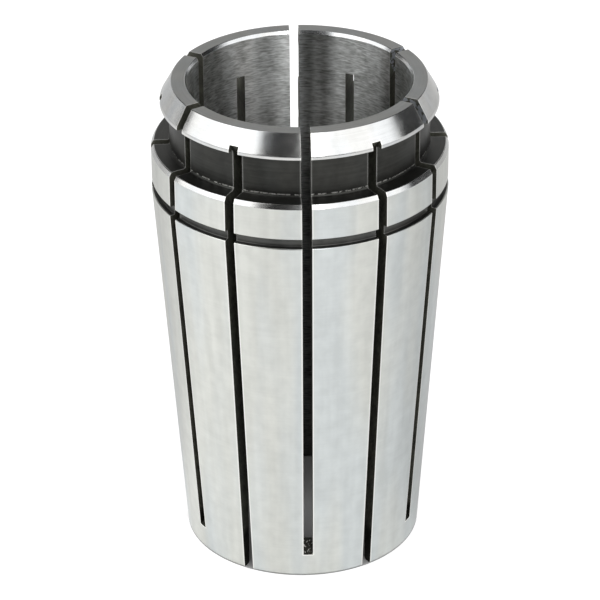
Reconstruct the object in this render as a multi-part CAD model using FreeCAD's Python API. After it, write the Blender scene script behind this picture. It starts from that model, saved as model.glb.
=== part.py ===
import FreeCAD, Part
import math
import os

# One-piece slotted collet, standing on its small end, +Z up, millimetres.
# The origin is the centre of the small end face and Z is the bore's axis.
# Heads, necks and the taper are turned in one profile. Saw kerfs are then cut
# from both ends in turn, so that the sleeve springs shut along its whole length.

# Bore and walls, which stack outwards from the bore
bore_diameter = 26.4
small_end_wall = 1.2
neck_wall = 2.2
ring_lip = 1.05
band_relief = 0.05
groove_depth = 0.6

# Lengths, which stack downwards from the nose face
overall_length = 60.3
nose_cone_length = 2.4
ring_land = 0.45
neck_length = 5.1
band_length = 4.4
groove_width = 1.15

# Angles from the axis
taper_half_angle = 4.0
nose_half_angle = 30.0

# Broken edges and corner radii
band_chamfer_width = 0.3
band_chamfer_length = 0.54
lead_in_width = 0.25
lead_in_length = 0.4
neck_fillet = 0.3
ring_edge_radius = 0.6
small_end_chamfer = 0.2
small_bore_chamfer = 0.25

# Saw kerfs: as many from the nose as from the small end, alternating
kerfs_per_end = 6
kerf_width = 1.15
saw_radius = 31.5
saw_overrun = 7.0
small_end_web = 3.1
nose_web = 1.9
saw_clearance = 1.0

# Heights of the turned features
nose_face = overall_length
ring_top = nose_face - nose_cone_length
ring_underside = ring_top - ring_land
shoulder = ring_underside - neck_length
groove_top = shoulder - band_length
groove_bottom = groove_top - groove_width

# Radii of the turned features
taper_slope = math.tan(math.radians(taper_half_angle))
nose_slope = math.tan(math.radians(nose_half_angle))
bore_radius = bore_diameter / 2
small_end_radius = bore_radius + small_end_wall
large_end_radius = small_end_radius + groove_bottom * taper_slope
band_radius = large_end_radius - band_relief
groove_radius = band_radius - groove_depth
neck_radius = bore_radius + neck_wall
ring_radius = neck_radius + ring_lip
nose_face_radius = ring_radius - nose_cone_length * nose_slope

# A quarter of the way from one kerf to the next
seam_azimuth = 360 / kerfs_per_end / 8

# The saw's rim reaches this far from the axis, past the near wall of the bore
saw_rim_radius = bore_radius - saw_overrun
saw_centre_radius = saw_rim_radius + saw_radius


def point(radius, height):
    return FreeCAD.Vector(radius, 0, height)


def rounded_corner(before, corner, after, radius):
    """Start, middle and end of the arc that rounds a corner of the section."""
    back = (before - corner).normalize()
    ahead = (after - corner).normalize()
    inward = (back + ahead).normalize()
    half_angle = back.getAngle(ahead) / 2
    reach = radius / math.tan(half_angle)
    centre = corner + inward * (radius / math.sin(half_angle))
    return corner + back * reach, centre - inward * radius, corner + ahead * reach


def turned_blank():
    """Revolve the collet's half section about the bore's axis."""
    bore_foot = point(bore_radius + small_bore_chamfer, 0)
    band_rim = point(band_radius - band_chamfer_width, shoulder)
    neck_foot = point(neck_radius, shoulder)
    neck_head = point(neck_radius, ring_underside)
    ring_foot = point(ring_radius, ring_underside)
    ring_corner = point(ring_radius, ring_top)
    nose_rim = point(nose_face_radius, nose_face)
    foot_arc = rounded_corner(band_rim, neck_foot, neck_head, neck_fillet)
    head_arc = rounded_corner(neck_foot, neck_head, ring_foot, neck_fillet)
    ring_arc = rounded_corner(ring_foot, ring_corner, nose_rim, ring_edge_radius)
    body = [
        bore_foot,
        point(small_end_radius - small_end_chamfer, 0),
        point(small_end_radius + small_end_chamfer * taper_slope, small_end_chamfer),
        point(large_end_radius, groove_bottom),
        point(groove_radius, groove_bottom),
        point(groove_radius, groove_top),
        point(band_radius, groove_top),
        point(band_radius, shoulder - band_chamfer_length),
        band_rim,
        foot_arc[0],
    ]
    nose_and_bore = [
        ring_arc[2],
        nose_rim,
        point(bore_radius + lead_in_width, nose_face),
        point(bore_radius, nose_face - lead_in_length),
        point(bore_radius, small_bore_chamfer),
        bore_foot,
    ]
    edges = [
        *Part.makePolygon(body).Edges,
        Part.Arc(*foot_arc).toShape(),
        Part.makeLine(foot_arc[2], head_arc[0]),
        Part.Arc(*head_arc).toShape(),
        *Part.makePolygon([head_arc[2], ring_foot, ring_arc[0]]).Edges,
        Part.Arc(*ring_arc).toShape(),
        *Part.makePolygon(nose_and_bore).Edges,
    ]
    section = Part.Face(Part.Wire(edges))
    return section.revolve(point(0, 0), FreeCAD.Vector(0, 0, 1), 360)


def kerf_cutter(open_end, closed_height, closed_radius, azimuth):
    """Plate swept by a round saw that enters at open_end.

    Its rim leaves an arc that meets the outer surface at closed_height, so
    the kerf is longer outside than in the bore.
    """
    towards_open = math.copysign(1, open_end - closed_height)
    clear_radius = large_end_radius + saw_clearance
    clear_height = open_end + towards_open * saw_clearance

    def drop(radius):
        return math.sqrt(saw_radius ** 2 - (saw_centre_radius - radius) ** 2)

    centre_height = closed_height + towards_open * drop(closed_radius)
    rim_point = point(saw_rim_radius, centre_height)
    exit_point = point(clear_radius, centre_height - towards_open * drop(clear_radius))
    middle_radius = (saw_rim_radius + clear_radius) / 2
    middle_point = point(middle_radius, centre_height - towards_open * drop(middle_radius))
    edges = [Part.Arc(rim_point, middle_point, exit_point).toShape()]
    edges.extend(Part.makePolygon([
        exit_point,
        point(clear_radius, clear_height),
        point(saw_rim_radius, clear_height),
        rim_point,
    ]).Edges)
    plate = Part.Face(Part.Wire(edges)).extrude(FreeCAD.Vector(0, kerf_width, 0))
    plate.translate(FreeCAD.Vector(0, -kerf_width / 2, 0))
    plate.rotate(FreeCAD.Vector(0, 0, 0), FreeCAD.Vector(0, 0, 1), azimuth)
    return plate


def kerf_cutters():
    """Kerfs from the nose, the first facing -Y, and between them those from the small end."""
    pitch = 360 / kerfs_per_end
    nose_kerf_radius = small_end_radius + small_end_web * taper_slope
    small_end_kerf_radius = nose_face_radius + nose_web * nose_slope
    cutters = []
    for index in range(kerfs_per_end):
        azimuth = index * pitch - 90
        cutters.append(kerf_cutter(nose_face, small_end_web, nose_kerf_radius, azimuth))
        cutters.append(kerf_cutter(0, nose_face - nose_web, small_end_kerf_radius, azimuth + pitch / 2))
    return cutters


def collet():
    """The blank is turned first so that its seam lies in a panel and not in a kerf."""
    blank = turned_blank()
    blank.rotate(point(0, 0), FreeCAD.Vector(0, 0, 1), seam_azimuth)
    return blank.cut(kerf_cutters()).Solids[0]


os.makedirs("parts", exist_ok=True)
shape = collet()
shape.exportStep("parts/collet.step")
print("collet", "valid" if shape.isValid() else "not valid", round(shape.Volume, 1), "mm3")
box = shape.optimalBoundingBox(False)
print("box", round(box.XLength, 3), round(box.YLength, 3), round(box.ZLength, 3), "mm")
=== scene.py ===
import math

import bpy
from mathutils import Matrix, Vector


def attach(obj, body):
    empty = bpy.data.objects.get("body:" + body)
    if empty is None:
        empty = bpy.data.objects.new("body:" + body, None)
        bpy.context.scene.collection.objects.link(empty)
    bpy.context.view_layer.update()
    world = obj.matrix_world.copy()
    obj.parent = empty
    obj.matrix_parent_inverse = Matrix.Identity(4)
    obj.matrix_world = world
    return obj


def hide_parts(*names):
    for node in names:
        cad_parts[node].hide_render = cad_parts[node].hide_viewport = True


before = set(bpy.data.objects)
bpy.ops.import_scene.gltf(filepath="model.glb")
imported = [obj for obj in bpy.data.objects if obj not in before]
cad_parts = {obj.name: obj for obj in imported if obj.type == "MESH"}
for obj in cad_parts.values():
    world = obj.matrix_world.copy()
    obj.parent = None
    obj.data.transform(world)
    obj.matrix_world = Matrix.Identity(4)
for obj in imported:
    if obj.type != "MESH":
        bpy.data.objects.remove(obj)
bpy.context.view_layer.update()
print("frame loaded:", sorted(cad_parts))

mm = 0.001

# Camera: set from the photograph's perspective, round the collet's axis
cameraView = {
    "distance": 338.72 * mm,  # from the axis, along the floor
    "height": 217.09 * mm,
    "azimuth": -2.477,        # degrees; the front kerf is seen a little to the right
    "aside": -0.0221,         # degrees that it looks past the axis
    "tilt": 28.851,           # degrees below the horizon
    "roll": -0.469,
    "lens": 190.82,
    "sensor": 36.0,
}


def makeCamera(view):
    turn = Matrix.Rotation(math.radians(view["azimuth"]), 3, "Z")
    aside = math.radians(view["aside"])
    tilt = math.radians(view["tilt"])
    place = turn @ Vector((0, -view["distance"], view["height"]))
    level = Vector((math.sin(aside), math.cos(aside), 0))
    forward = turn @ (level * math.cos(tilt) - Vector((0, 0, math.sin(tilt))))
    aim = forward.to_track_quat("-Z", "Y").to_matrix().to_4x4()
    roll = Matrix.Rotation(math.radians(view["roll"]), 4, "Z")
    data = bpy.data.cameras.new("camera")
    data.sensor_width = view["sensor"]
    data.lens = view["lens"]
    data.clip_start = 0.01
    data.clip_end = 20
    camera = bpy.data.objects.new("camera", data)
    camera.matrix_world = Matrix.Translation(place) @ aim @ roll
    bpy.context.scene.collection.objects.link(camera)
    bpy.context.scene.camera = camera


makeCamera(cameraView)
print("camera placed")


# Node trees: a node with its inputs set or linked in one call
def addNode(tree, kind, inputs=None, **settings):
    node = tree.nodes.new(kind)
    for key, value in settings.items():
        setattr(node, key, value)
    for key, value in (inputs or {}).items():
        socket = node.inputs[key]
        if isinstance(value, bpy.types.NodeSocket):
            tree.links.new(value, socket)
        else:
            socket.default_value = value
    return node


def calc(tree, operation, *values):
    node = addNode(tree, "ShaderNodeMath", dict(enumerate(values)), operation=operation)
    return node.outputs["Value"]


def vectorOf(tree, x, y, z):
    return addNode(tree, "ShaderNodeCombineXYZ", {"X": x, "Y": y, "Z": z}).outputs["Vector"]


def axisRadius(tree, axes):
    squares = calc(tree, "ADD", calc(tree, "POWER", axes["X"], 2), calc(tree, "POWER", axes["Y"], 2))
    return calc(tree, "SQRT", squares)


def mixColours(tree, share, dark, light):
    node = addNode(tree, "ShaderNodeMix", {"Factor": share}, data_type="RGBA")
    sockets = {socket.identifier: socket for socket in [*node.inputs, *node.outputs]}
    sockets["A_Color"].default_value = (*dark, 1)
    sockets["B_Color"].default_value = (*light, 1)
    return sockets["Result_Color"]


def coverColour(tree, share, colour, cover, blend="MIX"):
    node = addNode(tree, "ShaderNodeMix", {"Factor": share}, data_type="RGBA", blend_type=blend)
    sockets = {socket.identifier: socket for socket in [*node.inputs, *node.outputs]}
    tree.links.new(colour, sockets["A_Color"])
    sockets["B_Color"].default_value = (*cover, 1)
    return sockets["Result_Color"]


def ramp(tree, value, low, high, start=0.0, end=1.0):
    node = addNode(tree, "ShaderNodeMapRange", {
        "Value": value,
        "From Min": low,
        "From Max": high,
        "To Min": start,
        "To Max": end,
    }, interpolation_type="SMOOTHSTEP")
    return node.outputs["Result"]


def stretch(tree, value, low, high):
    node = addNode(tree, "ShaderNodeMapRange", {"Value": value, "From Min": low, "From Max": high})
    return node.outputs["Result"]


# Painted highlights: bright lines painted along the sides of the kerfs, in millimetres
kerfHighlightLines = {
    "kerfsPerEnd": 6,
    "halfKerf": 0.62,
    "width": 0.16,
    "noseKerfsFrom": 3.0,
    "smallEndKerfsTo": 58.5,
}


# How near a point is to the sides of the kerfs: 1 beside a kerf, 0 from a line's width away
def besideKerfs(tree, axes):
    lines = kerfHighlightLines
    turn = calc(tree, "ADD", calc(tree, "ARCTAN2", axes["Y"], axes["X"]), math.pi / 2)
    swing = calc(tree, "MULTIPLY", turn, lines["kerfsPerEnd"] / 2)
    reach = calc(tree, "DIVIDE", axisRadius(tree, axes), lines["kerfsPerEnd"] / 2)

    def side(wave, start, end):
        away = calc(tree, "MULTIPLY", calc(tree, "ABSOLUTE", calc(tree, wave, swing)), reach)
        lineEnd = lines["halfKerf"] + lines["width"]
        near = ramp(tree, away, lines["halfKerf"] * mm, lineEnd * mm, 1.0, 0.0)
        above = calc(tree, "GREATER_THAN", axes["Z"], start * mm)
        below = calc(tree, "LESS_THAN", axes["Z"], end * mm)
        return calc(tree, "MULTIPLY", calc(tree, "MULTIPLY", near, above), below)

    noseKerfs = side("SINE", lines["noseKerfsFrom"], 99)
    smallEndKerfs = side("COSINE", -1, lines["smallEndKerfsTo"])
    return calc(tree, "MAXIMUM", noseKerfs, smallEndKerfs)


# Finishes: steel with lines that run round the axis, a soft mottle and streaks along the axis,
# tinted cool or warm in broad patches. Sizes are in millimetres
steelFinishes = {
    "groundSteel": {
        "dark": (0.615, 0.625, 0.59), "light": (0.725, 0.735, 0.695), "metallic": 1.0,
        "cool": (0.955, 0.99, 1.045), "tintSize": 5.0,
        "roughness": 0.32, "roughSpread": 0.05, "anisotropic": 0.5,
        "lineLength": 9.0, "lineSpacing": 0.20, "lineDepth": 0.03, "lineShare": 0.12,
        "mottleSize": 1.6, "streakWidth": 1.3, "streakLength": 40.0,
        "paintedKerfHighlight": 0.9,
    },
    "polishedSteel": {
        "dark": (0.64, 0.64, 0.625), "light": (0.75, 0.75, 0.735), "metallic": 1.0,
        "cool": (0.97, 0.99, 1.02), "tintSize": 3.0,
        "roughness": 0.20, "roughSpread": 0.08, "anisotropic": 0.4,
        "lineLength": 5.0, "lineSpacing": 0.20, "lineDepth": 0.04, "lineShare": 0.3,
        "mottleSize": 1.4, "streakWidth": 1.2, "streakLength": 6.0,
        "paintedKerfHighlight": 0.8,
    },
    # The broken kerf edges: deburred steel painted near-white and partly dielectric, a painted highlight so
    # the edges read as bright lines
    "edgeSteel": {
        "dark": (0.80, 0.80, 0.77), "light": (0.95, 0.95, 0.92), "metallic": 0.4,
        "cool": (0.98, 0.99, 1.0), "tintSize": 3.0,
        "roughness": 0.35, "roughSpread": 0.1, "anisotropic": 0.0,
        "lineLength": 1.0, "lineSpacing": 1.0, "lineDepth": 0.1, "lineShare": 0.4,
        "mottleSize": 0.8, "streakWidth": 2.0, "streakLength": 2.0,
    },
    "noseFaceSteel": {
        "dark": (0.34, 0.34, 0.325), "light": (0.43, 0.43, 0.415), "metallic": 1.0,
        "cool": (0.97, 0.99, 1.02), "tintSize": 4.0,
        "roughness": 0.42, "roughSpread": 0.10, "anisotropic": 0.3,
        "lineLength": 7.0, "lineSpacing": 0.16, "lineDepth": 0.10, "lineShare": 0.4,
        "mottleSize": 3.0, "streakWidth": 3.0, "streakLength": 3.0,
    },
    "boreSteel": {
        "dark": (0.31, 0.31, 0.295), "light": (0.83, 0.83, 0.815), "metallic": 1.0,
        "cool": (0.98, 1.0, 1.01), "tintSize": 4.0,
        "roughness": 0.36, "roughSpread": 0.04, "anisotropic": 1.0,
        "lineLength": 0.95, "lineSpacing": 0.17, "lineDepth": 0.15, "lineShare": 0.6,
        "mottleSize": 1.5, "streakWidth": 2.0, "streakLength": 12.0,
        # Painted shade deep in the bore: the colour darkened below 51 mm, most below 38 mm
        "paintedShade": 0.3, "shadeBelow": 38.0, "unshadedAbove": 51.0,
    },
    "blackenedSteel": {
        "dark": (0.034, 0.034, 0.031), "light": (0.062, 0.062, 0.057), "metallic": 0.9,
        "cool": (0.98, 1.0, 1.02), "tintSize": 4.0,
        "roughness": 0.40, "roughSpread": 0.10, "anisotropic": 0.4,
        "lineLength": 6.0, "lineSpacing": 0.25, "lineDepth": 0.2, "lineShare": 0.3,
        "mottleSize": 1.2, "streakWidth": 3.0, "streakLength": 10.0,
        "paintedKerfHighlight": 0.12,
        # A bright dashed line painted at the top of the neck fillet: partly blackening worn through to bare
        # steel, partly a painted glint standing in for the fillet's highlight
        "patches": [
            {"colour": (0.6, 0.6, 0.57), "low": (-99, -99, 52.59), "high": (99, 99, 52.74),
             "size": 0.45, "least": 0.42},
        ],
    },
    "grooveSteel": {
        "dark": (0.065, 0.065, 0.061), "light": (0.12, 0.12, 0.113), "metallic": 0.9,
        "cool": (0.98, 1.0, 1.02), "tintSize": 4.0,
        "roughness": 0.36, "roughSpread": 0.10, "anisotropic": 0.4,
        "lineLength": 6.0, "lineSpacing": 0.25, "lineDepth": 0.2, "lineShare": 0.3,
        "mottleSize": 1.2, "streakWidth": 3.0, "streakLength": 10.0,
    },
    "kerfSteel": {
        "dark": (0.09, 0.09, 0.075), "light": (0.19, 0.19, 0.155), "metallic": 0.9,
        "cool": (0.98, 1.0, 1.02), "tintSize": 4.0,
        "roughness": 0.55, "roughSpread": 0.10, "anisotropic": 0.0,
        "lineLength": 0.6, "lineSpacing": 0.4, "lineDepth": 0.3, "lineShare": 0.4,
        "mottleSize": 1.2, "streakWidth": 1.5, "streakLength": 2.0,
        # Painted shade low in the kerfs: the colour darkened below 6 mm, most below 4.4 mm
        "paintedShade": 0.2, "shadeBelow": 4.4, "unshadedAbove": 6.0,
        "patches": [
            # Lighter blue-grey mottle painted on the ring's kerf walls on the right side only: partly
            # residue, partly painted light falling on those walls
            {"colour": (0.44, 0.46, 0.49), "low": (10, -99, 57.3), "high": (99, 99, 60.2),
             "size": 0.5, "least": 0.40},
            # White specks painted at the closed ends of the front and back kerfs: painted glints
            {"colour": (0.6, 0.6, 0.57), "low": (-0.7, -99, 2.9), "high": (0.7, 99, 5.0),
             "size": 0.3, "least": 0.56},
        ],
    },
}


def makeSteel(name, look):
    material = bpy.data.materials.new(name)
    material.use_nodes = True
    tree = material.node_tree
    shader = tree.nodes["Principled BSDF"]
    place = addNode(tree, "ShaderNodeTexCoord").outputs["Object"]
    axes = addNode(tree, "ShaderNodeSeparateXYZ", {"Vector": place}).outputs
    across = calc(tree, "SUBTRACT", axes["Z"], axisRadius(tree, axes))

    def noise(roundSize, alongSize, along, detail):
        flow = vectorOf(
            tree,
            calc(tree, "DIVIDE", axes["X"], roundSize * mm),
            calc(tree, "DIVIDE", axes["Y"], roundSize * mm),
            calc(tree, "DIVIDE", along, alongSize * mm),
        )
        cloud = addNode(tree, "ShaderNodeTexNoise", {"Vector": flow, "Scale": 1.0, "Detail": detail})
        return cloud.outputs["Fac"]

    lines = noise(look["lineLength"], look["lineSpacing"], across, 3.0)
    mottle = noise(look["mottleSize"], look["mottleSize"], axes["Z"], 2.0)
    streaks = noise(look["streakWidth"], look["streakLength"], axes["Z"], 2.0)
    soft = calc(tree, "MULTIPLY", calc(tree, "ADD", mottle, streaks), (1 - look["lineShare"]) / 2)
    wear = calc(tree, "MULTIPLY_ADD", lines, look["lineShare"], soft)
    spread = stretch(tree, wear, 0.36, 0.64)
    patches = noise(look["tintSize"], look["tintSize"] * 8, axes["Z"], 1.0)
    tint = stretch(tree, patches, 0.4, 0.6)
    plain = mixColours(tree, spread, look["dark"], look["light"])
    colour = coverColour(tree, tint, plain, look["cool"], "MULTIPLY")
    # Painted shade: the colour is darkened below a given height, standing in for shade down in the recesses
    if "shadeBelow" in look:
        shadeShare = ramp(tree, axes["Z"], look["shadeBelow"] * mm, look["unshadedAbove"] * mm, 1.0, 0.0)
        colour = coverColour(tree, shadeShare, colour, (look["paintedShade"], look["paintedShade"], look["paintedShade"]), "MULTIPLY")
    # Painted highlight: near-white lines painted along both sides of the kerfs, as strong as the finish's
    # share
    if "paintedKerfHighlight" in look:
        share = calc(tree, "MULTIPLY", besideKerfs(tree, axes), look["paintedKerfHighlight"])
        colour = coverColour(tree, share, colour, (0.97, 0.97, 0.93))
    # Patches painted lighter inside a box of sides and heights: wear marks together with painted glints and
    # painted light on lit walls
    for patch in look.get("patches", []):
        wearAndGlint = noise(patch["size"], patch["size"], axes["Z"], 1.0)
        share = ramp(tree, wearAndGlint, patch["least"], patch["least"] + 0.15)
        for axis, low, high in zip("XYZ", patch["low"], patch["high"]):
            share = calc(tree, "MULTIPLY", share, calc(tree, "GREATER_THAN", axes[axis], low * mm))
            share = calc(tree, "MULTIPLY", share, calc(tree, "LESS_THAN", axes[axis], high * mm))
        colour = coverColour(tree, share, colour, patch["colour"])
    tree.links.new(colour, shader.inputs["Base Color"])
    uneven = calc(tree, "SUBTRACT", mottle, 0.5)
    tone = calc(tree, "MULTIPLY_ADD", uneven, look["roughSpread"] * 2, look["roughness"])
    tree.links.new(tone, shader.inputs["Roughness"])
    bump = addNode(tree, "ShaderNodeBump", {
        "Strength": look["lineDepth"],
        "Distance": 0.02 * mm,
        "Height": lines,
    })
    tree.links.new(bump.outputs["Normal"], shader.inputs["Normal"])
    shader.inputs["Metallic"].default_value = look["metallic"]
    shader.inputs["Anisotropic"].default_value = look["anisotropic"]
    if look["anisotropic"] > 0:
        shader.inputs["Anisotropic Rotation"].default_value = 0.25  # light spreads across the lines
        turn = addNode(tree, "ShaderNodeTangent", direction_type="RADIAL", axis="Z")
        tree.links.new(turn.outputs["Tangent"], shader.inputs["Tangent"])
    return material


steels = {name: makeSteel(name, look) for name, look in steelFinishes.items()}
print("finishes made:", len(steels))

# Collet: a half section turned round the axis, then sawn from both ends, in millimetres
colletSizes = {
    "length": 60.3,
    "boreRadius": 13.2,
    "smallEndRadius": 14.4,
    "smallEndChamfer": 0.2,
    "smallBoreChamfer": 0.25,
    "taperAngle": 4.0,
    "bandRelief": 0.05,
    "grooveDepth": 0.6,
    "grooveWidth": 1.15,
    "bandLength": 4.4,
    "bandChamferWidth": 0.3,
    "bandChamferLength": 0.54,
    "neckRadius": 15.4,
    "neckLength": 5.1,
    "neckFillet": 0.3,
    "ringRadius": 16.45,
    "ringLand": 0.45,
    "ringEdgeRadius": 0.6,
    "noseConeLength": 2.4,
    "noseConeAngle": 30.0,
    "leadInWidth": 0.25,
    "leadInLength": 0.4,
    "leadInWander": 0.25,    # how far the lead-in's foot strays up and down
    "rimBreak": 0.13,
    "kerfsPerEnd": 6,
    "kerfWidth": 1.15,
    "kerfEdgeBreak": 0.1,
    "sawRadius": 31.5,
    "sawRimRadius": 6.2,
    "smallEndWeb": 3.1,
    "noseWeb": 1.9,
    "clearance": 1.0,
    "facetsPerKerf": 18,
    "rowGap": 0.22,          # from the end of a kerf to the next row of points
}


def turnedSizes(sizes):
    taperSlope = math.tan(math.radians(sizes["taperAngle"]))
    noseSlope = math.tan(math.radians(sizes["noseConeAngle"]))
    turned = {}
    turned["ringTop"] = sizes["length"] - sizes["noseConeLength"]
    turned["ringUnderside"] = turned["ringTop"] - sizes["ringLand"]
    turned["shoulder"] = turned["ringUnderside"] - sizes["neckLength"]
    turned["grooveTop"] = turned["shoulder"] - sizes["bandLength"]
    turned["grooveBottom"] = turned["grooveTop"] - sizes["grooveWidth"]
    turned["largeEndRadius"] = sizes["smallEndRadius"] + turned["grooveBottom"] * taperSlope
    turned["bandRadius"] = turned["largeEndRadius"] - sizes["bandRelief"]
    turned["grooveRadius"] = turned["bandRadius"] - sizes["grooveDepth"]
    turned["noseFaceRadius"] = sizes["ringRadius"] - sizes["noseConeLength"] * noseSlope
    turned["chamferTopRadius"] = sizes["smallEndRadius"] + sizes["smallEndChamfer"] * taperSlope
    turned["noseKerfRadius"] = sizes["smallEndRadius"] + sizes["smallEndWeb"] * taperSlope
    turned["smallEndKerfRadius"] = turned["noseFaceRadius"] + sizes["noseWeb"] * noseSlope
    centre = sizes["sawRimRadius"] + sizes["sawRadius"]

    def arcDrop(radius):
        return math.sqrt(sizes["sawRadius"] ** 2 - (centre - radius) ** 2)

    noseKerfRise = arcDrop(turned["noseKerfRadius"]) - arcDrop(sizes["boreRadius"])
    smallEndKerfRise = arcDrop(turned["smallEndKerfRadius"]) - arcDrop(sizes["boreRadius"])
    turned["lowRow"] = sizes["smallEndWeb"] - sizes["rowGap"]
    turned["lowRowRadius"] = sizes["smallEndRadius"] + turned["lowRow"] * taperSlope
    turned["highRow"] = sizes["length"] - sizes["noseWeb"] + sizes["rowGap"]
    turned["highRowRadius"] = turned["noseFaceRadius"] + (sizes["length"] - turned["highRow"]) * noseSlope
    turned["lowBoreRow"] = sizes["smallEndWeb"] + noseKerfRise - sizes["rowGap"]
    turned["highBoreRow"] = sizes["length"] - sizes["noseWeb"] - smallEndKerfRise + sizes["rowGap"]
    return turned


turned = turnedSizes(colletSizes)


# Corners of the section with the radius that rounds each, and plain rows beside the kerfs' ends
def sectionCorners(sizes, turned):
    rim = sizes["rimBreak"]
    return [
        (sizes["boreRadius"] + sizes["smallBoreChamfer"], 0, rim),
        (sizes["smallEndRadius"] - sizes["smallEndChamfer"], 0, rim),
        (turned["chamferTopRadius"], sizes["smallEndChamfer"], rim),
        (turned["lowRowRadius"], turned["lowRow"], 0),
        (turned["largeEndRadius"], turned["grooveBottom"], rim),
        (turned["grooveRadius"], turned["grooveBottom"], rim),
        (turned["grooveRadius"], turned["grooveTop"], rim),
        (turned["bandRadius"], turned["grooveTop"], rim),
        (turned["bandRadius"], turned["shoulder"] - sizes["bandChamferLength"], rim),
        (turned["bandRadius"] - sizes["bandChamferWidth"], turned["shoulder"], rim),
        (sizes["neckRadius"], turned["shoulder"], sizes["neckFillet"]),
        (sizes["neckRadius"], turned["ringUnderside"], sizes["neckFillet"]),
        (sizes["ringRadius"], turned["ringUnderside"], rim),
        (sizes["ringRadius"], turned["ringTop"], sizes["ringEdgeRadius"]),
        (turned["highRowRadius"], turned["highRow"], 0),
        (turned["noseFaceRadius"], sizes["length"], rim),
        (sizes["boreRadius"] + sizes["leadInWidth"], sizes["length"], rim),
        (sizes["boreRadius"], sizes["length"] - sizes["leadInLength"], rim),
        (sizes["boreRadius"], turned["highBoreRow"], 0),
        (sizes["boreRadius"], turned["lowBoreRow"], 0),
        (sizes["boreRadius"], sizes["smallBoreChamfer"], rim),
    ]


def roundCorner(before, corner, after, radius, steps):
    back = (before - corner).normalized()
    ahead = (after - corner).normalized()
    half = back.angle(ahead) / 2
    reach = radius / math.tan(half)
    centre = corner + (back + ahead).normalized() * (radius / math.sin(half))
    start = corner + back * reach - centre
    finish = corner + ahead * reach - centre
    sweep = start.angle(finish)
    points = []
    for step in range(steps + 1):
        share = step / steps
        spoke = start * math.sin((1 - share) * sweep) + finish * math.sin(share * sweep)
        points.append(centre + spoke / math.sin(sweep))
    return points


def halfSectionMesh(sizes, turned):
    corners = [(Vector((r, 0, z)), size) for r, z, size in sectionCorners(sizes, turned)]
    leadIn = Vector((sizes["boreRadius"], 0, sizes["length"] - sizes["leadInLength"]))
    points = []
    wander = []
    for index, (corner, size) in enumerate(corners):
        before = corners[index - 1][0]
        after = corners[(index + 1) % len(corners)][0]
        steps = 8 if size >= sizes["neckFillet"] else 3
        arc = roundCorner(before, corner, after, size, steps) if size > 0 else [corner]
        points += arc
        wander += [1.0 if (corner - leadIn).length < 0.001 else 0.0] * len(arc)
    edges = [(index, (index + 1) % len(points)) for index in range(len(points))]
    mesh = bpy.data.meshes.new("halfSection")
    mesh.from_pydata(points, edges, [])
    mask = mesh.attributes.new("wander", "FLOAT", "POINT")
    mask.data.foreach_set("value", wander)
    return mesh


def positionAxes(tree):
    position = addNode(tree, "GeometryNodeInputPosition").outputs[0]
    return addNode(tree, "ShaderNodeSeparateXYZ", {"Vector": position}).outputs


# One saw's plate at each of its kerfs, with the saw's arc at the closed end
def sawPlates(tree, inputs, closedHeight, closedRadius, openHeight, side, firstTurn):
    cube = addNode(tree, "GeometryNodeMeshCube", {"Vertices X": 33})
    at = positionAxes(tree)
    share = calc(tree, "ADD", at["X"], 0.5)
    rise = calc(tree, "ADD", at["Z"], 0.5)
    reach = calc(tree, "SUBTRACT", inputs["Clear Radius"], inputs["Saw Rim Radius"])
    radius = calc(tree, "MULTIPLY_ADD", share, reach, inputs["Saw Rim Radius"])
    centre = calc(tree, "ADD", inputs["Saw Rim Radius"], inputs["Saw Radius"])

    def drop(place):
        gap = calc(tree, "SUBTRACT", centre, place)
        sawSquare = calc(tree, "POWER", inputs["Saw Radius"], 2)
        squares = calc(tree, "SUBTRACT", sawSquare, calc(tree, "POWER", gap, 2))
        return calc(tree, "SQRT", calc(tree, "MAXIMUM", squares, 0))

    fall = calc(tree, "SUBTRACT", drop(radius), drop(closedRadius))
    rim = calc(tree, "MULTIPLY_ADD", fall, -side, closedHeight)
    low = calc(tree, "MINIMUM", rim, openHeight)
    high = calc(tree, "MAXIMUM", rim, openHeight)
    height = calc(tree, "MULTIPLY_ADD", rise, calc(tree, "SUBTRACT", high, low), low)
    place = vectorOf(tree, radius, calc(tree, "MULTIPLY", at["Y"], inputs["Kerf Width"]), height)
    plate = addNode(tree, "GeometryNodeSetPosition", {"Geometry": cube.outputs["Mesh"], "Position": place})
    spots = addNode(tree, "GeometryNodePoints", {"Count": inputs["Kerfs Per End"]})
    index = addNode(tree, "GeometryNodeInputIndex").outputs[0]
    pitch = calc(tree, "DIVIDE", math.tau, inputs["Kerfs Per End"])
    turn = calc(tree, "MULTIPLY", calc(tree, "ADD", index, firstTurn), pitch)
    euler = vectorOf(tree, 0.0, 0.0, calc(tree, "SUBTRACT", turn, math.pi / 2))
    rotation = addNode(tree, "FunctionNodeEulerToRotation", {"Euler": euler}).outputs[0]
    copies = addNode(tree, "GeometryNodeInstanceOnPoints", {
        "Points": spots.outputs[0],
        "Instance": plate.outputs[0],
        "Rotation": rotation,
    })
    return addNode(tree, "GeometryNodeRealizeInstances", {"Geometry": copies.outputs[0]}).outputs[0]


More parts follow.
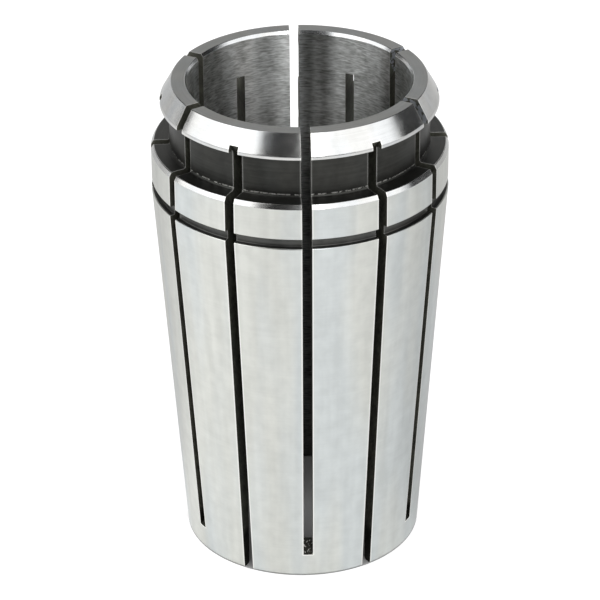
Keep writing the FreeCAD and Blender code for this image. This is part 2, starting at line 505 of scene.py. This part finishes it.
# Each finish lies between two heights and two radii, and a later one covers an earlier one
def finishZones(sizes, turned):
    small = sizes["rimBreak"]
    top = sizes["length"]
    leadIn = top - sizes["leadInLength"]
    faceRadius = sizes["boreRadius"] + sizes["leadInWidth"]
    boreEdge = sizes["boreRadius"] + sizes["smallBoreChamfer"]
    grooveFoot = turned["grooveBottom"] - 0.001
    grooveHead = turned["grooveTop"] + 0.001
    shoulder = turned["shoulder"]
    chamferFoot = shoulder - sizes["bandChamferLength"] - small / 2
    underside = turned["ringUnderside"] + small / 2
    return [
        ("boreSteel", -1, leadIn - small, 0, boreEdge),
        ("grooveSteel", grooveFoot, grooveHead, 14, turned["bandRadius"] - small),
        ("blackenedSteel", shoulder - 0.01, underside, 14, 99),
        ("polishedSteel", underside, top - 0.001, 14, 99),
        ("polishedSteel", chamferFoot, shoulder - 0.002, 17, 99),
        ("polishedSteel", leadIn - sizes["leadInWander"], top, 0, faceRadius + small / 2),
        ("noseFaceSteel", top - 0.004, top + 1, faceRadius, 99),
    ]


def colletTree(sizes, turned):
    tree = bpy.data.node_groups.new("sawnCollet", "GeometryNodeTree")
    tree.interface.new_socket("Geometry", in_out="OUTPUT", socket_type="NodeSocketGeometry")
    tree.interface.new_socket("Half Section", in_out="INPUT", socket_type="NodeSocketGeometry")
    values = {
        "Facets": sizes["facetsPerKerf"] * 2 * sizes["kerfsPerEnd"],
        "Kerfs Per End": sizes["kerfsPerEnd"],
        "Kerf Width": sizes["kerfWidth"],
        "Saw Radius": sizes["sawRadius"],
        "Saw Rim Radius": sizes["sawRimRadius"],
        "Clear Radius": turned["largeEndRadius"] + sizes["clearance"],
        "Length": sizes["length"],
        "Small End Web": sizes["smallEndWeb"],
        "Nose Web": sizes["noseWeb"],
        "Nose Kerf Radius": turned["noseKerfRadius"],
        "Small End Kerf Radius": turned["smallEndKerfRadius"],
        "Lead-in Wander": sizes["leadInWander"],
        "Seed": 4.0,
    }
    names = {}
    for name, value in values.items():
        kind = "NodeSocketInt" if isinstance(value, int) else "NodeSocketFloat"
        names[name] = tree.interface.new_socket(name, in_out="INPUT", socket_type=kind).identifier
    source = tree.nodes.new("NodeGroupInput")
    inputs = source.outputs

    section = addNode(tree, "GeometryNodeMeshToCurve", {"Mesh": inputs["Half Section"]})
    shape = addNode(tree, "GeometryNodeCaptureAttribute", {"Geometry": section.outputs[0]})
    shape.capture_items.new("VECTOR", "Place")
    tree.links.new(addNode(tree, "GeometryNodeInputPosition").outputs[0], shape.inputs["Place"])
    line = addNode(tree, "GeometryNodeCurvePrimitiveLine", {"End": (0, 0, 1)})
    count = calc(tree, "ADD", inputs["Facets"], 1)
    steps = addNode(tree, "GeometryNodeResampleCurve", {"Curve": line.outputs[0], "Count": count})
    circle = addNode(tree, "GeometryNodeCaptureAttribute", {"Geometry": steps.outputs[0]})
    circle.capture_items.new("FLOAT", "Share")
    tree.links.new(addNode(tree, "GeometryNodeSplineParameter").outputs["Factor"], circle.inputs["Share"])
    sheet = addNode(tree, "GeometryNodeCurveToMesh", {
        "Curve": circle.outputs[0],
        "Profile Curve": shape.outputs[0],
    })
    at = addNode(tree, "ShaderNodeSeparateXYZ", {"Vector": shape.outputs["Place"]}).outputs
    turn = calc(tree, "MULTIPLY", circle.outputs["Share"], math.tau)
    cos = calc(tree, "COSINE", turn)
    sin = calc(tree, "SINE", turn)
    x = calc(tree, "MULTIPLY", at["X"], cos)
    y = calc(tree, "MULTIPLY", at["X"], sin)
    waveX = calc(tree, "MULTIPLY", cos, 5)
    waveY = calc(tree, "MULTIPLY", sin, 5)
    waves = addNode(tree, "ShaderNodeTexNoise", {
        "Vector": vectorOf(tree, waveX, waveY, inputs["Seed"]),
        "Scale": 1.0,
        "Detail": 4.0,
    })
    mask = addNode(tree, "GeometryNodeInputNamedAttribute", {"Name": "wander"}).outputs["Attribute"]
    wander = calc(tree, "MULTIPLY", mask, inputs["Lead-in Wander"])
    shift = calc(tree, "MULTIPLY", calc(tree, "SUBTRACT", waves.outputs["Fac"], 0.5), wander)
    z = calc(tree, "ADD", at["Z"], shift)
    place = vectorOf(tree, x, y, z)
    blank = addNode(tree, "GeometryNodeSetPosition", {"Geometry": sheet.outputs[0], "Position": place})
    closed = addNode(tree, "GeometryNodeMergeByDistance", {"Geometry": blank.outputs[0], "Distance": 0.001})

    over = calc(tree, "ADD", inputs["Length"], sizes["clearance"])
    noseEnd = calc(tree, "SUBTRACT", inputs["Length"], inputs["Nose Web"])
    fromNose = sawPlates(tree, inputs, inputs["Small End Web"], inputs["Nose Kerf Radius"], over, 1.0, 0.0)
    under = -sizes["clearance"]
    fromSmallEnd = sawPlates(tree, inputs, noseEnd, inputs["Small End Kerf Radius"], under, -1.0, 0.5)
    plates = tree.nodes.new("GeometryNodeJoinGeometry")
    tree.links.new(fromNose, plates.inputs[0])
    tree.links.new(fromSmallEnd, plates.inputs[0])
    sawn = steels["kerfSteel"]
    blank = addNode(tree, "GeometryNodeSetMaterial", {
        "Geometry": closed.outputs[0],
        "Material": steels["groundSteel"],
    })
    saws = addNode(tree, "GeometryNodeSetMaterial", {"Geometry": plates.outputs[0], "Material": sawn})
    cut = addNode(tree, "GeometryNodeMeshBoolean", {
        "Mesh 1": blank.outputs[0],
        "Mesh 2": saws.outputs[0],
    }, operation="DIFFERENCE", solver="EXACT")

    edges = addNode(tree, "GeometryNodeStoreNamedAttribute", {
        "Geometry": cut.outputs["Mesh"],
        "Selection": cut.outputs["Intersecting Edges"],
        "Name": "bevel_weight_edge",
        "Value": 1.0,
    }, data_type="FLOAT", domain="EDGE")

    spot = positionAxes(tree)
    radius = axisRadius(tree, spot)
    height = spot["Z"]

    def within(value, low, high):
        above = calc(tree, "GREATER_THAN", value, low)
        return calc(tree, "MULTIPLY", above, calc(tree, "LESS_THAN", value, high))

    inKerf = addNode(tree, "GeometryNodeMaterialSelection", {"Material": sawn}).outputs[0]
    turnedFace = calc(tree, "SUBTRACT", 1.0, inKerf)
    painted = addNode(tree, "GeometryNodeRealizeInstances", {"Geometry": edges.outputs[0]}).outputs[0]
    for finish, low, high, inner, outer in finishZones(sizes, turned):
        zone = calc(tree, "MULTIPLY", within(height, low, high), within(radius, inner, outer))
        chosen = calc(tree, "MULTIPLY", zone, turnedFace)
        painted = addNode(tree, "GeometryNodeSetMaterial", {
            "Geometry": painted,
            "Selection": chosen,
            "Material": steels[finish],
        }).outputs[0]
    out = tree.nodes.new("NodeGroupOutput")
    tree.links.new(painted, out.inputs[0])
    return tree, {names[name]: value for name, value in values.items()}


def meshOf(piece):
    bpy.context.view_layer.update()
    depsgraph = bpy.context.evaluated_depsgraph_get()
    return bpy.data.meshes.new_from_object(piece.evaluated_get(depsgraph), depsgraph=depsgraph)


def makeCollet(sizes, turned):
    piece = bpy.data.objects.new("slottedCollet", halfSectionMesh(sizes, turned))
    bpy.context.scene.collection.objects.link(piece)
    tree, values = colletTree(sizes, turned)
    turning = piece.modifiers.new("turnAndSaw", "NODES")
    turning.node_group = tree
    for identifier, value in values.items():
        turning[identifier] = value
    mesh = meshOf(piece)
    piece.modifiers.clear()
    piece.data = mesh
    breaking = piece.modifiers.new("breakEdges", "BEVEL")
    breaking.limit_method = "WEIGHT"
    breaking.width = sizes["kerfEdgeBreak"]
    breaking.segments = 2
    breaking.use_clamp_overlap = True
    # The bevel faces take the near-white edgeSteel, a painted highlight along the broken kerf edges
    mesh.materials.append(steels["edgeSteel"])
    breaking.material = mesh.materials.find("edgeSteel")
    weighting = piece.modifiers.new("flatFaces", "WEIGHTED_NORMAL")
    weighting.keep_sharp = True
    mesh = meshOf(piece)
    piece.modifiers.clear()
    piece.data = mesh
    mesh.transform(Matrix.Scale(mm, 4))
    return piece


collet = makeCollet(colletSizes, turned)
print("collet turned and sawn:", len(collet.data.vertices), "points", len(collet.data.polygons), "faces")
print("finishes on it:", [material.name for material in collet.data.materials])
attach(collet, "root")
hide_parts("collet")


# Studio: pale floor and white surround, soft lamps, and cards that only reflections see
studioSizes = {
    "floorReach": 3.0,
    "floorGrey": 0.58,
    "cameraLift": 0.62,     # light added where the camera sees the floor
    "nearLift": 0.42,       # and where a reflection sees it close to the collet
    "farLift": 0.08,
    "leftShare": 0.26,      # more of that on the left, and less on the right
    "sideLoss": 0.12,       # less of it on both
    "rightFade": 0.33,      # how much sooner it fades on the right, towards the back
    "backShare": 0.25,      # and what is left of it behind the collet
    "nearReach": 0.16,
    "farReach": 0.34,
    "underRadius": 14.4 * mm,
    "diffuseWorld": 0.85,
    "panelDistance": 0.9,
}

# Panels stand upright round the collet: azimuth of the middle and span in degrees, lowest and
# highest elevation, and brightness
lampPanels = {
    "lampLeft": {"azimuth": -74, "span": 76, "low": 12, "high": 68, "level": 0.5},
    "lampStrip": {"azimuth": 14, "span": 9, "low": 12, "high": 68, "level": 3.0},
    "lampRight": {"azimuth": 48, "span": 70, "low": 12, "high": 68, "level": 0.42},
}
cards = {
    "cardFront": {"azimuth": -15, "span": 36, "low": 12, "high": 70, "level": 0.02},
    "cardFrontLow": {"azimuth": 5, "span": 80, "low": 0, "high": 12, "level": 0.03},
    "cardSide": {"azimuth": 102, "span": 28, "low": 6, "high": 66, "level": 0.03},
    "cardBoreLeft": {"azimuth": -126, "span": 48, "low": 12, "high": 77, "level": 0.02},
    "cardBoreRight": {"azimuth": 126, "span": 48, "low": 12, "high": 77, "level": 0.02},
    "cardBoreBright": {"azimuth": -57, "span": 34, "low": 16, "high": 78, "level": 1.8},
    "cardBack": {"azimuth": 180, "span": 70, "low": 10, "high": 66, "level": 0.58},
    "cardLowLeft": {"azimuth": -135, "span": 44, "low": 0, "high": 9, "level": 0.58},
    "cardLowRight": {"azimuth": 135, "span": 44, "low": 0, "high": 9, "level": 0.58},
}
ceilingCard = {"height": 1.2, "reach": 0.45, "level": 0.05}


def panelFrame(panel):
    distance = studioSizes["panelDistance"]
    turn = math.radians(panel["azimuth"] + cameraView["azimuth"])
    low = distance * math.tan(math.radians(panel["low"]))
    high = distance * math.tan(math.radians(panel["high"]))
    width = 2 * distance * math.tan(math.radians(panel["span"] / 2))
    middle = Vector((math.sin(turn) * distance, -math.cos(turn) * distance, (low + high) / 2))
    facing = Matrix.Rotation(turn, 4, "Z") @ Matrix.Rotation(math.radians(90), 4, "X")
    return Matrix.Translation(middle) @ facing, width, high - low


def makeLamp(name, panel):
    place, width, height = panelFrame(panel)
    data = bpy.data.lights.new(name, "AREA")
    data.shape = "RECTANGLE"
    data.size = width
    data.size_y = height
    data.energy = panel["level"] * math.pi * width * height
    lamp = bpy.data.objects.new(name, data)
    lamp.matrix_world = place
    lamp.visible_camera = False
    bpy.context.scene.collection.objects.link(lamp)


def makeCard(name, place, width, height, level):
    corners = [(-width / 2, -height / 2), (width / 2, -height / 2)]
    corners += [(-x, -y) for x, y in corners]
    mesh = bpy.data.meshes.new(name)
    mesh.from_pydata([place @ Vector((x, y, 0)) for x, y in corners], [], [(0, 1, 2, 3)])
    card = bpy.data.objects.new(name, mesh)
    bpy.context.scene.collection.objects.link(card)
    material = bpy.data.materials.new(name)
    material.use_nodes = True
    material.cycles.emission_sampling = "NONE"
    shader = material.node_tree.nodes["Principled BSDF"]
    shader.inputs["Base Color"].default_value = (0, 0, 0, 1)
    shader.inputs["Specular IOR Level"].default_value = 0.0
    shader.inputs["Emission Color"].default_value = (1, 1, 1, 1)
    shader.inputs["Emission Strength"].default_value = level
    mesh.materials.append(material)
    card.visible_camera = False
    card.visible_diffuse = False
    card.visible_shadow = False


def seenDirectly(tree):
    path = addNode(tree, "ShaderNodeLightPath").outputs
    mirrored = calc(tree, "MAXIMUM", path["Is Glossy Ray"], path["Is Transmission Ray"])
    return path["Is Camera Ray"], mirrored


def makeFloor():
    reach = studioSizes["floorReach"]
    mesh = bpy.data.meshes.new("floor")
    corners = [(-reach, -reach, 0), (reach, -reach, 0), (reach, reach, 0), (-reach, reach, 0)]
    mesh.from_pydata(corners, [], [(0, 1, 2, 3)])
    floor = bpy.data.objects.new("floor", mesh)
    bpy.context.scene.collection.objects.link(floor)
    material = bpy.data.materials.new("floorPaper")
    material.use_nodes = True
    material.cycles.emission_sampling = "NONE"
    tree = material.node_tree
    shader = tree.nodes["Principled BSDF"]
    grey = studioSizes["floorGrey"]
    shader.inputs["Base Color"].default_value = (grey, grey, grey, 1)
    shader.inputs["Roughness"].default_value = 0.8
    shader.inputs["Specular IOR Level"].default_value = 0.0
    shader.inputs["Emission Color"].default_value = (1, 1, 1, 1)
    place = addNode(tree, "ShaderNodeTexCoord").outputs["Object"]
    axes = addNode(tree, "ShaderNodeSeparateXYZ", {"Vector": place}).outputs
    radius = axisRadius(tree, axes)
    outside = calc(tree, "GREATER_THAN", radius, studioSizes["underRadius"])
    near = ramp(
        tree,
        radius,
        studioSizes["nearReach"],
        studioSizes["farReach"],
        studioSizes["nearLift"],
        studioSizes["farLift"],
    )
    camera, mirrored = seenDirectly(tree)
    right = calc(tree, "DIVIDE", axes["X"], radius)
    back = calc(tree, "DIVIDE", axes["Y"], radius)
    loss = calc(tree, "MULTIPLY_ADD", right, -studioSizes["sideLoss"], -studioSizes["leftShare"])
    leftward = calc(tree, "MULTIPLY", calc(tree, "POWER", right, 3), loss)
    sideStep = calc(tree, "MAXIMUM", right, -0.25)
    behind = calc(tree, "MULTIPLY_ADD", sideStep, studioSizes["rightFade"], back)
    fade = ramp(tree, behind, -0.05, 0.8, 1.0, studioSizes["backShare"])
    sideways = calc(tree, "MULTIPLY_ADD", leftward, near, near)
    mirrorLift = calc(tree, "MULTIPLY", calc(tree, "MULTIPLY", mirrored, sideways), fade)
    lift = calc(tree, "MULTIPLY_ADD", camera, studioSizes["cameraLift"], mirrorLift)
    tree.links.new(calc(tree, "MULTIPLY", lift, outside), shader.inputs["Emission Strength"])
    mesh.materials.append(material)


def makeWorld():
    world = bpy.data.worlds.new("surround")
    bpy.context.scene.world = world
    world.use_nodes = True
    tree = world.node_tree
    shader = tree.nodes["Background"]
    shader.inputs["Color"].default_value = (1, 1, 1, 1)
    diffuse = studioSizes["diffuseWorld"]
    camera, mirrored = seenDirectly(tree)
    level = calc(tree, "MULTIPLY_ADD", calc(tree, "MAXIMUM", camera, mirrored), 1 - diffuse, diffuse)
    tree.links.new(level, shader.inputs["Strength"])


makeFloor()
makeWorld()
for name, panel in lampPanels.items():
    makeLamp(name, panel)
for name, panel in cards.items():
    makeCard(name, *panelFrame(panel), panel["level"])
overhead = Matrix.Translation((0, 0, ceilingCard["height"])) @ Matrix.Rotation(math.pi, 4, "X")
makeCard("cardCeiling", overhead, 2 * ceilingCard["reach"], 2 * ceilingCard["reach"], ceilingCard["level"])
bpy.context.scene.view_settings.view_transform = "Standard"
print("studio lit")
